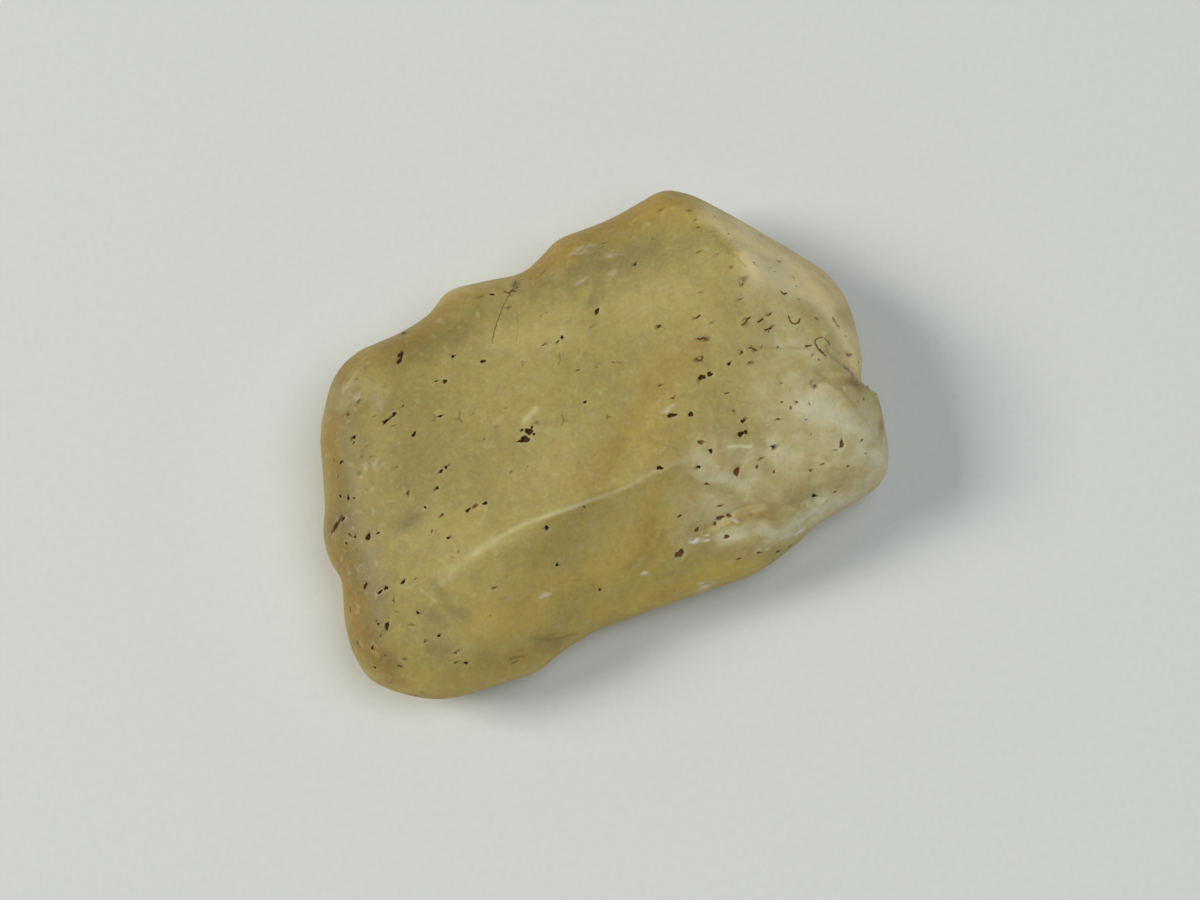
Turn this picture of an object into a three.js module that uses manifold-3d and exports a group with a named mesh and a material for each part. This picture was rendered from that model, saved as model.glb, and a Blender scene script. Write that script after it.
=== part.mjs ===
// A raw pebble of Libyan desert glass, lying on its flat underside.
// Natural silica glass, worn by windblown sand: a dished top face, one sharp crest, a scooped front
// face below it, a bevel on the back right corner, shell-like ledges and open pits.
// Millimetres, +X along the pebble, +Z up, origin in the middle of its base.
import * as THREE from "three";
import { mergeVertices } from "three/addons/utils/BufferGeometryUtils.js";
import Module from "manifold-3d";

// Driving dimensions
const crestHeight = 12.6; // top of the crest above the surface it lies on
const girdleHeight = 5.6; // level of the widest outline
const wallDraft = 0.14; // how far the side wall leans in, per mm above or below the girdle
const wallBow = 1.5; // height over which the wall turns from leaning out to leaning in
const edgeRounding = 3.4; // blend between the side wall and the faces above and below it
const crestRounding = 0.35; // the crest is the one edge that stayed sharp
const meshDetail = 17; // splits of each edge of the icosahedron that the surface starts from
const pitSplits = 2; // times that the triangles round a pit are halved, to show it

// The widest outline, seen from above, counter-clockwise from the right tip.
const girdleOutline = [
  [23.1, 2.0], [22.8, 4.7], [21.1, 7.3], [19.3, 10.1], [17.3, 12.8], [15.4, 15.1], [13.9, 16.1],
  [11.8, 16.2], [8.9, 16.1], [6.4, 16.2], [4.7, 16.1], [3.0, 15.4], [1.0, 15.0], [-1.6, 15.9],
  [-4.4, 16.5], [-6.8, 15.6], [-9.5, 15.3], [-12.8, 15.4], [-15.3, 14.4], [-17.1, 12.2],
  [-18.4, 10.2], [-19.5, 8.0], [-20.4, 5.8], [-21.4, 3.8], [-21.7, 2.1], [-21.6, 0.3],
  [-22.2, -1.5], [-23.0, -3.5], [-23.5, -5.5], [-23.4, -7.6], [-21.7, -9.8], [-18.9, -11.5],
  [-15.3, -12.4], [-12.0, -13.2], [-9.0, -12.4], [-6.0, -12.0], [-3.4, -12.6], [-0.4, -13.6],
  [3.0, -14.4], [6.7, -14.8], [9.8, -13.9], [12.4, -12.7], [15.9, -12.5], [18.2, -11.6],
  [19.9, -8.8], [20.7, -6.3], [20.1, -4.8], [21.2, -2.9], [22.1, -0.6],
];

// Each worn face is a sheet through one point, with its rise per mm along X and Y, and a bend
// along X that hollows it. soft is the blend with the faces named before it.
const upperFaces = [
  { name: "top", at: [-4, -4.4, crestHeight - 0.1], rise: [0.012, -0.05], soft: 0 },
  { name: "front", at: [-8, -4.2, crestHeight], rise: [-0.02, 0.86], bend: 0.0055, soft: crestRounding },
  { name: "nose", at: [8, -6, 11.9], rise: [-0.2, 0.24], soft: 2.4 },
  { name: "corner bevel", at: [16.2, 8, 11.3], rise: [-0.92, -0.2], soft: 0.5 },
  { name: "back slope", at: [2, 10.2, 11.7], rise: [0, -0.42], soft: 2.6 },
  { name: "left slope", at: [-14.5, 3, 11.9], rise: [0.36, -0.03], soft: 3.2 },
  { name: "left corner", at: [-16.5, -5.5, 11.3], rise: [0.34, 0.36], soft: 2.4 },
];
const lowerFaces = [
  { name: "base", at: [0, 0, -0.75], rise: [0, 0], soft: 0 },
  { name: "front undercut", at: [0, -7.5, 0], rise: [0.02, -0.38], soft: 2.5 },
  { name: "back undercut", at: [0, 10, 0], rise: [-0.02, 0.36], soft: 2.5 },
  { name: "right undercut", at: [14.5, 0, 0], rise: [0.34, 0.03], soft: 3 },
  { name: "left undercut", at: [-15.5, 0, 0], rise: [-0.32, 0.02], soft: 3 },
];

// Slow swells of the sand-worn skin: wavelength along X, Y and Z, start of the wave, and height.
const swells = [
  { wave: [24, 17, 30], start: 0.4, height: 0.12 },
  { wave: [-13, 19, 20], start: 1.9, height: 0.08 },
  { wave: [9, 11, 9], start: 3.1, height: 0.04 },
];

// Relief seen from above stays on the skin that faces up. It fades in over this range of the
// normal's Z.
const steepest = 0.3;
const gentlest = 0.65;

// Broad hollows and humps of the upper skin: middle, half widths along and across, turn, height.
const domes = [
  { at: [-8, 3], half: [9, 5], turn: 8, height: -0.5 },
  { at: [1.6, -1.2], half: [6.5, 1.9], turn: 42, height: -0.42 },
  { at: [11.5, -2.5], half: [5, 4], turn: -20, height: 0.42 },
  { at: [-16.8, -6.4], half: [2.2, 3], turn: 15, height: -0.4 },
  { at: [-19.6, -7.6], half: [2.4, 2.4], turn: 0, height: 0.35 },
  { at: [7.2, 12.4], half: [4.6, 2], turn: 0, height: -0.3 },
  { at: [0.4, 13], half: [2, 3], turn: -30, height: -0.35 },
  { at: [-17.2, 10.4], half: [2.6, 2.2], turn: 40, height: 0.3 },
  { at: [6.8, -10.6], half: [3.4, 2.2], turn: -8, height: 0.35 },
];

// Shell-like ledges of old fractures. The skin drops at the line, on its right side as it runs,
// and climbs back over the reach.
const ledges = [
  { line: [[20.2, -5.9], [18.9, -4.4], [17.6, -2.4], [16, -1.5], [14.2, -0.7]], drop: -0.45, reach: 2.6 },
  { line: [[18.6, -9.6], [17.9, -7.4], [17.3, -5.4], [16.2, -3.6]], drop: -0.3, reach: 1.8 },
  { line: [[12.4, -11.6], [9.4, -11], [8.2, -10.2], [6.6, -9.8], [4.2, -10]], drop: -0.35, reach: 2 },
];
const ledgeLip = 0.3; // width of the drop itself

// The pits that are wide enough to see from a step away: middle seen from above, radius, depth.
const pits = [
  [-5.5, 2.3, 0.62, 0.5], [-4.9, 2.9, 0.5, 0.45], [5.1, -1.6, 0.5, 0.4], [6.4, -2.3, 0.5, 0.4],
  [8.8, -0.1, 0.6, 0.4], [4.1, 8.4, 0.5, 0.35], [1, -10.2, 0.65, 0.5], [4.5, -9, 0.7, 0.45],
  [9, -5.2, 0.5, 0.35], [-11.7, -0.9, 0.6, 0.35], [-19.4, -1.8, 0.5, 0.4], [-10.4, 11.8, 0.55, 0.4],
  [-13.2, 8.3, 0.6, 0.35], [17.4, -1.2, 0.7, 0.3], [17.6, -8.4, 0.8, 0.4], [-18.2, 1.4, 0.5, 0.4],
];
const pitReach = 1.25; // a pit's rim, in pit radii, past which it leaves the skin alone
const pitMargin = 1.8; // how far out the finer triangles go, in pit radii

const middle = new THREE.Vector3(-0.6, 1, 5.4); // every part of the skin is in sight of this point
const probe = 0.01; // step for the slope of the form

function smoothMax(a, b, soft) {
  const overlap = Math.max(soft - Math.abs(a - b), 0);
  return Math.max(a, b) + (soft > 0 ? (overlap * overlap) / (4 * soft) : 0);
}

// The girdle as its distance from the middle at even steps of angle.
const outlineSteps = 720;
function girdleReach() {
  const corners = girdleOutline.map(([x, y]) => new THREE.Vector3(x - middle.x, y - middle.y, 0));
  const rim = new THREE.CatmullRomCurve3(corners, true, "catmullrom", 0.5).getPoints(3 * outlineSteps);
  const reach = new Array(outlineSteps).fill(0);
  const turn = 2 * Math.PI;
  for (let i = 0; i < rim.length - 1; i++) {
    const from = (Math.atan2(rim[i].y, rim[i].x) + turn) % turn;
    const swept = ((Math.atan2(rim[i + 1].y, rim[i + 1].x) - from) % turn + 1.5 * turn) % turn - turn / 2;
    const first = Math.ceil((from / turn) * outlineSteps);
    const last = Math.floor(((from + swept) / turn) * outlineSteps);
    for (let step = first; step <= last; step++) {
      const share = ((step / outlineSteps) * turn - from) / swept;
      const place = rim[i].clone().lerp(rim[i + 1], share);
      reach[step % outlineSteps] = Math.hypot(place.x, place.y);
    }
  }
  return reach;
}
const reach = girdleReach();

function wallDistance(p) {
  const x = p.x - middle.x;
  const y = p.y - middle.y;
  const along = ((Math.atan2(y, x) / (2 * Math.PI) + 1) % 1) * outlineSteps;
  const step = Math.floor(along);
  const near = reach[step % outlineSteps];
  const next = reach[(step + 1) % outlineSteps];
  const radius = near + (next - near) * (along - step);
  const slant = ((next - near) * outlineSteps) / (2 * Math.PI * radius);
  const lean = wallDraft * (Math.hypot(p.z - girdleHeight, wallBow) - wallBow);
  return (Math.hypot(x, y) - radius) / Math.hypot(1, slant) + lean;
}

function faceHeight(face, p) {
  const x = p.x - face.at[0];
  const y = p.y - face.at[1];
  return face.at[2] + face.rise[0] * x + face.rise[1] * y + (face.bend || 0) * x * x;
}

// Below zero inside the pebble, about the distance in mm from its worn faces outside it.
function form(p) {
  let roof = -Infinity;
  for (const face of upperFaces) {
    const gap = (p.z - faceHeight(face, p)) / Math.hypot(1, ...face.rise);
    roof = roof === -Infinity ? gap : smoothMax(roof, gap, face.soft);
  }
  let floor = -Infinity;
  for (const face of lowerFaces) {
    const gap = (faceHeight(face, p) - p.z) / Math.hypot(1, ...face.rise);
    floor = floor === -Infinity ? gap : smoothMax(floor, gap, face.soft);
  }
  return smoothMax(smoothMax(roof, wallDistance(p), edgeRounding), floor, edgeRounding);
}

function outward(p) {
  const here = form(p);
  const slope = ["x", "y", "z"].map((axis) => {
    const beside = p.clone();
    beside[axis] += probe;
    return form(beside) - here;
  });
  return new THREE.Vector3(...slope).normalize();
}

function swellHeight(p) {
  let height = 0;
  for (const { wave, start, height: crest } of swells) {
    height += crest * Math.sin(2 * Math.PI * (p.x / wave[0] + p.y / wave[1] + p.z / wave[2]) + start);
  }
  return height;
}

function domeHeight(p) {
  let height = 0;
  for (const dome of domes) {
    const turn = THREE.MathUtils.degToRad(dome.turn);
    const x = p.x - dome.at[0];
    const y = p.y - dome.at[1];
    const along = (x * Math.cos(turn) + y * Math.sin(turn)) / dome.half[0];
    const across = (y * Math.cos(turn) - x * Math.sin(turn)) / dome.half[1];
    height += dome.height * Math.exp(-(along * along + across * across));
  }
  return height;
}

// How far p is to the right of a line of points as it runs, and how far it is past the line's ends.
function besideLine(p, line) {
  let nearest = Infinity;
  let found = null;
  for (let i = 0; i < line.length - 1; i++) {
    const [ax, ay] = line[i];
    const [bx, by] = line[i + 1];
    const long = Math.hypot(bx - ax, by - ay);
    const ux = (bx - ax) / long;
    const uy = (by - ay) / long;
    const along = (p.x - ax) * ux + (p.y - ay) * uy;
    const held = THREE.MathUtils.clamp(along, 0, long);
    const away = Math.hypot(p.x - ax - ux * held, p.y - ay - uy * held);
    if (away >= nearest) continue;
    nearest = away;
    found = { right: uy * (p.x - ax) - ux * (p.y - ay), past: Math.abs(along - held) };
  }
  return found;
}

function ledgeHeight(p) {
  let height = 0;
  for (const { line, drop, reach: width } of ledges) {
    const { right, past } = besideLine(p, line);
    if (right > 0) height += drop * Math.min(right / ledgeLip, 1) * Math.exp(-right / width - past);
  }
  return height;
}

function pitHeight(p) {
  let height = 0;
  for (const [x, y, radius, depth] of pits) {
    const away = Math.hypot(p.x - x, p.y - y) / (radius * pitReach);
    if (away < 1) height -= depth * (1 - away * away) ** 2;
  }
  return height;
}

// The skin in one direction from the middle: the worn form first, then its relief along the normal.
const searchBox = new THREE.Vector3(24, 16, 8);
function skin(direction) {
  const ray = direction.clone().multiply(searchBox);
  let inner = 0.2;
  let outer = 2;
  while (outer - inner > 1e-6) {
    const half = (inner + outer) / 2;
    if (form(ray.clone().multiplyScalar(half).add(middle)) < 0) inner = half;
    else outer = half;
  }
  const p = ray.multiplyScalar(inner).add(middle);
  const normal = outward(p);
  const upper = THREE.MathUtils.smoothstep(normal.z, steepest, gentlest);
  const relief = swellHeight(p) + upper * (domeHeight(p) + ledgeHeight(p) + pitHeight(p));
  return p.addScaledVector(normal, relief);
}

function nearPit(p) {
  if (p.z < girdleHeight) return false;
  return pits.some(([x, y, radius]) => Math.hypot(p.x - x, p.y - y) < radius * pitMargin);
}

// Halves the triangles in and round each pit, a few times over.
function splitNearPits(directions, triangles) {
  for (let pass = 0; pass < pitSplits; pass++) {
    const middles = new Map();
    const edgeMiddle = (a, b) => {
      const key = a < b ? `${a}_${b}` : `${b}_${a}`;
      if (middles.has(key)) return middles.get(key);
      const between = directions[a].clone().add(directions[b]).normalize();
      const found = nearPit(skin(between));
      middles.set(key, found ? directions.push(between) - 1 : -1);
      return middles.get(key);
    };
    triangles = triangles.flatMap((corners) => splitTriangle(corners, edgeMiddle));
  }
  return { places: directions.map(skin), triangles };
}

function splitTriangle(corners, edgeMiddle) {
  const [a, b, c] = corners;
  const mids = [edgeMiddle(a, b), edgeMiddle(b, c), edgeMiddle(c, a)];
  const count = mids.filter((m) => m >= 0).length;
  if (count === 0) return [corners];
  if (count === 3) {
    const [ab, bc, ca] = mids;
    return [[a, ab, ca], [ab, b, bc], [ca, bc, c], [ab, bc, ca]];
  }
  // Turned so that the first edge is split, and the last one isn't.
  let turn = 0;
  while (!(mids[turn] >= 0 && mids[(turn + 2) % 3] < 0)) turn++;
  const [p, q, r] = [0, 1, 2].map((i) => corners[(turn + i) % 3]);
  const pq = mids[turn];
  const qr = mids[(turn + 1) % 3];
  return count === 1 ? [[p, pq, r], [pq, q, r]] : [[p, pq, r], [pq, q, qr], [pq, qr, r]];
}

function skinGeometry() {
  const ball = new THREE.IcosahedronGeometry(1, meshDetail);
  ball.deleteAttribute("normal");
  ball.deleteAttribute("uv");
  const joined = mergeVertices(ball, 1e-5);
  const corner = joined.attributes.position;
  const directions = Array.from({ length: corner.count }, (_, i) => {
    return new THREE.Vector3().fromBufferAttribute(corner, i).normalize();
  });
  const triangles = [];
  for (let i = 0; i < joined.index.count; i += 3) {
    triangles.push([0, 1, 2].map((k) => joined.index.getX(i + k)));
  }
  const fine = splitNearPits(directions, triangles);
  const numbers = fine.places.flatMap((p) => p.toArray());
  const geometry = new THREE.BufferGeometry();
  geometry.setAttribute("position", new THREE.Float32BufferAttribute(numbers, 3));
  geometry.setIndex(fine.triangles.flat());
  return geometry;
}

const wasm = await Module();
wasm.setup();

function solidOf(geometry) {
  const bare = geometry.clone();
  bare.deleteAttribute("normal");
  bare.deleteAttribute("uv");
  const merged = mergeVertices(bare, 1e-5);
  return new wasm.Manifold(
    new wasm.Mesh({
      numProp: 3,
      vertProperties: merged.attributes.position.array,
      triVerts: new Uint32Array(merged.index.array),
    }),
  );
}

// The flat that the pebble lies on, cut at the level of the surface under it.
const groundSize = 60;
const groundDepth = 10;
function layFlat(geometry) {
  const ground = new THREE.BoxGeometry(groundSize, groundSize, groundDepth);
  ground.translate(0, 0, -groundDepth / 2);
  const cut = solidOf(geometry).subtract(solidOf(ground)).getMesh();
  const flat = new THREE.BufferGeometry();
  flat.setAttribute("position", new THREE.BufferAttribute(new Float32Array(cut.vertProperties), 3));
  flat.setIndex(new THREE.BufferAttribute(new Uint32Array(cut.triVerts), 1));
  return flat;
}

// Moves the pebble so that the origin is under the middle of its box.
function centreOver(geometry) {
  geometry.computeBoundingBox();
  const centre = geometry.boundingBox.getCenter(new THREE.Vector3());
  return geometry.translate(-centre.x, -centre.y, -geometry.boundingBox.min.z);
}

const frostedGlass = new THREE.MeshStandardMaterial({
  color: 0xb0a05e,
  roughness: 0.55,
  metalness: 0,
});

const glassPebble = new THREE.Mesh(centreOver(layFlat(skinGeometry())), frostedGlass);
glassPebble.name = "glass_pebble";

const pebble = new THREE.Group();
pebble.add(glassPebble);
export default pebble;
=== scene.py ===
import math
import bmesh
import bpy
import numpy as np
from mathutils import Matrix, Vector, noise
from mathutils.bvhtree import BVHTree


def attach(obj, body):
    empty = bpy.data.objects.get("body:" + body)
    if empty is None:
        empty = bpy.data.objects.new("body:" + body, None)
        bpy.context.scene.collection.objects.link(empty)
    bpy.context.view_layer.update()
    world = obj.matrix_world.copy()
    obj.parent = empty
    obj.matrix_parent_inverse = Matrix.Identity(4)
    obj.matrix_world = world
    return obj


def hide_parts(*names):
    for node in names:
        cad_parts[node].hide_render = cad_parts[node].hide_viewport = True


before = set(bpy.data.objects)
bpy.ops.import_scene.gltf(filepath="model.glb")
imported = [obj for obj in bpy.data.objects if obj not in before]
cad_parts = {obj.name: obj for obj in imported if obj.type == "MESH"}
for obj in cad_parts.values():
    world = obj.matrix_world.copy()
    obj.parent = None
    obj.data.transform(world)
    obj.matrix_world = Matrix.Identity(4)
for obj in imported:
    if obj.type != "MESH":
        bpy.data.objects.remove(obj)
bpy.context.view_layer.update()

mm = 0.001
noiseSeed = 4  # of the waves by which strokes and cracks stray; unseeded, each run would differ
noise.seed_set(noiseSeed)
print("frame loaded")

# The camera stands at the photograph's angle.
camera = {
    "azimuth": -28.0,  # degrees round from the front
    "elevation": 74.0,  # degrees above the paper
    "distance": 226.0,  # from the point it looks at
    "aim": (0.5, -1.5, 6.0),
    "lens": 90.0,
    "sensor": 36.0,
    "nearClip": 10.0,
    "picture": (1200, 900),
}


def cameraAxes():
    turn = math.radians(camera["azimuth"])
    lift = math.radians(camera["elevation"])
    back = np.array([math.sin(turn) * math.cos(lift), -math.cos(turn) * math.cos(lift), math.sin(lift)])
    right = np.array([math.cos(turn), math.sin(turn), 0.0])
    return right, np.cross(back, right), back


def makeCamera():
    back = cameraAxes()[2]
    data = bpy.data.cameras.new("camera")
    data.lens = camera["lens"]
    data.sensor_width = camera["sensor"]
    data.clip_start = camera["nearClip"] * mm
    stand = bpy.data.objects.new("camera", data)
    stand.location = Vector(np.array(camera["aim"]) + back * camera["distance"]) * mm
    stand.rotation_mode = "QUATERNION"
    stand.rotation_quaternion = Vector(-back).to_track_quat("-Z", "Y")
    bpy.context.scene.collection.objects.link(stand)
    bpy.context.scene.camera = stand


pixel = camera["sensor"] / camera["picture"][0] / camera["lens"]  # one picture pixel, per mm of distance


# The line of sight through a place in the picture.
def sightLine(across, down):
    right, up, back = cameraAxes()
    width, height = camera["picture"]
    ray = -back + right * (across - width / 2) * pixel + up * (height / 2 - down) * pixel
    return np.array(camera["aim"]) + back * camera["distance"], ray / np.linalg.norm(ray)


# Where points of the stone are seen in the picture.
def pictureOf(p):
    right, up, back = cameraAxes()
    width, height = camera["picture"]
    offset = p - np.array(camera["aim"]) - back * camera["distance"]
    away = -(offset @ back) * pixel
    return np.stack([width / 2 + (offset @ right) / away, height / 2 - (offset @ up) / away], 1)


makeCamera()
print("camera placed")

# The worn form, with the solid's own values.
pebble = {
    "girdleHeight": 5.6,
    "wallDraft": 0.14,
    "wallBow": 1.5,
    "edgeRounding": 3.4,
    "girdle": [
        (23.1, 2.0), (22.8, 4.7), (21.1, 7.3), (19.3, 10.1), (17.3, 12.8), (15.4, 15.1), (13.9, 16.1),
        (11.8, 16.2), (8.9, 16.1), (6.4, 16.2), (4.7, 16.1), (3.0, 15.4), (1.0, 15.0), (-1.6, 15.9),
        (-4.4, 16.5), (-6.8, 15.6), (-9.5, 15.3), (-12.8, 15.4), (-15.3, 14.4), (-17.1, 12.2),
        (-18.4, 10.2), (-19.5, 8.0), (-20.4, 5.8), (-21.4, 3.8), (-21.7, 2.1), (-21.6, 0.3),
        (-22.2, -1.5), (-23.0, -3.5), (-23.5, -5.5), (-23.4, -7.6), (-21.7, -9.8), (-18.9, -11.5),
        (-15.3, -12.4), (-12.0, -13.2), (-9.0, -12.4), (-6.0, -12.0), (-3.4, -12.6), (-0.4, -13.6),
        (3.0, -14.4), (6.7, -14.8), (9.8, -13.9), (12.4, -12.7), (15.9, -12.5), (18.2, -11.6),
        (19.9, -8.8), (20.7, -6.3), (20.1, -4.8), (21.2, -2.9), (22.1, -0.6),
    ],
    "middle": (-0.6, 1.0, 5.4),
    "searchBox": (24.0, 16.0, 8.0),
    "searchRange": (0.2, 2.0),  # the skin lies between these shares of the box, in every direction
    "halvings": 22,  # of that range, until the skin is found
    # Each face is a sheet: a point of it, its rise per mm along X and Y, its bend, its blend.
    "upperFaces": [
        ((-4, -4.4, 12.5), (0.012, -0.05), 0, 0),  # top
        ((-8, -4.2, 12.6), (-0.02, 0.86), 0.0055, 0.35),  # front
        ((8, -6, 11.9), (-0.2, 0.24), 0, 2.4),  # nose
        ((16.2, 8, 11.3), (-0.92, -0.2), 0, 0.5),  # corner bevel
        ((2, 10.2, 11.7), (0, -0.42), 0, 2.6),  # back slope
        ((-14.5, 3, 11.9), (0.36, -0.03), 0, 3.2),  # left slope
        ((-16.5, -5.5, 11.3), (0.34, 0.36), 0, 2.4),  # left corner
    ],
    "lowerFaces": [
        ((0, 0, -0.75), (0, 0), 0, 0),  # base
        ((0, -7.5, 0), (0.02, -0.38), 0, 2.5),  # undercuts
        ((0, 10, 0), (-0.02, 0.36), 0, 2.5),
        ((14.5, 0, 0), (0.34, 0.03), 0, 3),
        ((-15.5, 0, 0), (-0.32, 0.02), 0, 3),
    ],
    # Wavelength along X, Y and Z, start of the wave, height.
    "swells": [((24, 17, 30), 0.4, 0.12), ((-13, 19, 20), 1.9, 0.08), ((9, 11, 9), 3.1, 0.04)],
    # Middle, half widths along and across, turn in degrees, height.
    "domes": [
        ((-8, 3), (9, 5), 8, -0.5), ((1.6, -1.2), (6.5, 1.9), 42, -0.42),
        ((11.5, -2.5), (5, 4), -20, 0.42), ((-16.8, -6.4), (2.2, 3), 15, -0.4),
        ((-19.6, -7.6), (2.4, 2.4), 0, 0.35), ((7.2, 12.4), (4.6, 2), 0, -0.3),
        ((0.4, 13), (2, 3), -30, -0.35), ((-17.2, 10.4), (2.6, 2.2), 40, 0.3),
        ((6.8, -10.6), (3.4, 2.2), -8, 0.35),
    ],
    # Line, drop on its right side as it runs, reach.
    "ledges": [
        ([(20.2, -5.9), (18.9, -4.4), (17.6, -2.4), (16, -1.5), (14.2, -0.7)], -0.45, 2.6),
        ([(18.6, -9.6), (17.9, -7.4), (17.3, -5.4), (16.2, -3.6)], -0.3, 1.8),
        ([(12.4, -11.6), (9.4, -11), (8.2, -10.2), (6.6, -9.8), (4.2, -10)], -0.35, 2),
    ],
    "ledgeLip": 0.3,
    "facingUp": (0.3, 0.65),  # relief seen from above fades in over this range of the normal's Z
    "wear": [(2.6, 0.05), (0.9, 0.022)],  # size and height of the wind-worn unevenness
    "subdivisions": 6,  # of the ball that the mesh starts from
}


def ramp(values, low, high):
    share = np.clip((values - low) / (high - low), 0, 1)
    return share * share * (3 - 2 * share)


def smoothMax(a, b, soft):
    if soft <= 0:
        return np.maximum(a, b)
    overlap = np.maximum(soft - np.abs(a - b), 0)
    return np.maximum(a, b) + overlap * overlap / (4 * soft)


outlineSteps = 720  # round the girdle
curveSteps = 40  # between two of its corners
probe = 0.01  # mm, for the slope of the form


def girdleReach():
    corners = np.array(pebble["girdle"]) - np.array(pebble["middle"][:2])
    before, after, later = np.roll(corners, 1, 0), np.roll(corners, -1, 0), np.roll(corners, -2, 0)
    rim = []
    for share in np.arange(0, 1, 1 / curveSteps):
        square, cube = share**2, share**3
        leaving, arriving = (after - before) / 2, (later - corners) / 2
        rim.append(
            (2 * corners - 2 * after + leaving + arriving) * cube
            + (3 * after - 3 * corners - 2 * leaving - arriving) * square
            + leaving * share + corners
        )
    rim = np.concatenate(rim)
    angle = np.arctan2(rim[:, 1], rim[:, 0]) % (2 * np.pi)
    order = np.argsort(angle)
    steps = np.arange(outlineSteps) / outlineSteps * 2 * np.pi
    return np.interp(steps, angle[order], np.hypot(*rim.T)[order], period=2 * np.pi)


reachTable = girdleReach()


def wallDistance(p):
    x, y = p[:, 0] - pebble["middle"][0], p[:, 1] - pebble["middle"][1]
    along = (np.arctan2(y, x) / (2 * np.pi) % 1) * outlineSteps
    step = np.floor(along).astype(int)
    near, after = reachTable[step % outlineSteps], reachTable[(step + 1) % outlineSteps]
    radius = near + (after - near) * (along - step)
    slant = (after - near) * outlineSteps / (2 * np.pi * radius)
    bow = pebble["wallBow"]
    lean = pebble["wallDraft"] * (np.hypot(p[:, 2] - pebble["girdleHeight"], bow) - bow)
    return (np.hypot(x, y) - radius) / np.hypot(1, slant) + lean


# Distance above the highest of some sheets, or below the lowest of them.
def sheetDistance(p, sheets, side):
    distance = None
    for at, rise, bend, soft in sheets:
        x, y = p[:, 0] - at[0], p[:, 1] - at[1]
        height = at[2] + rise[0] * x + rise[1] * y + bend * x * x
        gap = side * (p[:, 2] - height) / math.sqrt(1 + rise[0] ** 2 + rise[1] ** 2)
        distance = gap if distance is None else smoothMax(distance, gap, soft)
    return distance


def formDistance(p):
    roof = sheetDistance(p, pebble["upperFaces"], 1)
    floor = sheetDistance(p, pebble["lowerFaces"], -1)
    rounding = pebble["edgeRounding"]
    return smoothMax(smoothMax(roof, wallDistance(p), rounding), floor, rounding)


def unit(vectors):
    return vectors / np.linalg.norm(vectors, axis=-1, keepdims=True)


def outward(p):
    here = formDistance(p)
    return unit(np.stack([formDistance(p + np.eye(3)[axis] * probe) - here for axis in range(3)], 1))


def domeHeight(p):
    height = np.zeros(len(p))
    for at, half, turn, rise in pebble["domes"]:
        x, y = p[:, 0] - at[0], p[:, 1] - at[1]
        c, s = math.cos(math.radians(turn)), math.sin(math.radians(turn))
        height += rise * np.exp(-(((x * c + y * s) / half[0]) ** 2) - ((y * c - x * s) / half[1]) ** 2)
    return height


# How far points are to the right of a line as it runs, and how far past its ends.
def besideLine(p, line):
    line = np.array(line, float)
    nearest = np.full(len(p), np.inf)
    right, past = np.zeros(len(p)), np.zeros(len(p))
    for a, b in zip(line[:-1], line[1:]):
        long = np.linalg.norm(b - a)
        ux, uy = (b - a) / long
        x, y = p[:, 0] - a[0], p[:, 1] - a[1]
        along = x * ux + y * uy
        held = np.clip(along, 0, long)
        away = np.hypot(x - ux * held, y - uy * held)
        closer = away < nearest
        nearest = np.where(closer, away, nearest)
        right = np.where(closer, uy * x - ux * y, right)
        past = np.where(closer, np.abs(along - held), past)
    return right, past


def ledgeHeight(p):
    height = np.zeros(len(p))
    for line, drop, reach in pebble["ledges"]:
        right, past = besideLine(p, line)
        fall = np.clip(right / pebble["ledgeLip"], 0, 1) * np.exp(-np.maximum(right, 0) / reach - past)
        height += drop * fall
    return height


def wearHeight(p):
    height = np.zeros(len(p))
    for size, rise in pebble["wear"]:
        height += rise * np.array([noise.noise(Vector(q / size)) for q in p])
    return height


# The skin along some directions from the middle, without its pits.
def skin(directions):
    middle = np.array(pebble["middle"])
    rays = directions * np.array(pebble["searchBox"])
    inner, outer = (np.full(len(rays), share) for share in pebble["searchRange"])
    for _ in range(pebble["halvings"]):
        half = (inner + outer) / 2
        inside = formDistance(middle + rays * half[:, None]) < 0
        inner, outer = np.where(inside, half, inner), np.where(inside, outer, half)
    p = middle + rays * inner[:, None]
    normal = outward(p)
    swell = np.zeros(len(p))
    for wave, start, rise in pebble["swells"]:
        swell += rise * np.sin(2 * np.pi * (p / np.array(wave)).sum(1) + start)
    upper = ramp(normal[:, 2], *pebble["facingUp"])
    relief = swell + upper * (domeHeight(p) + ledgeHeight(p)) + wearHeight(p)
    return p + normal * relief[:, None], normal


def ball(subdivisions):
    bm = bmesh.new()
    bmesh.ops.create_icosphere(bm, subdivisions=subdivisions, radius=1)
    directions = np.array([v.co for v in bm.verts])
    triangles = np.array([[v.index for v in f.verts] for f in bm.faces])
    bm.free()
    return unit(directions), triangles


directions, triangles = ball(pebble["subdivisions"])
places, normals = skin(directions)
centre = np.array([*(places.min(0) + places.max(0))[:2] / 2, 0.0])
places = places - centre
print("worn skin:", len(triangles), "triangles")

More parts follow.
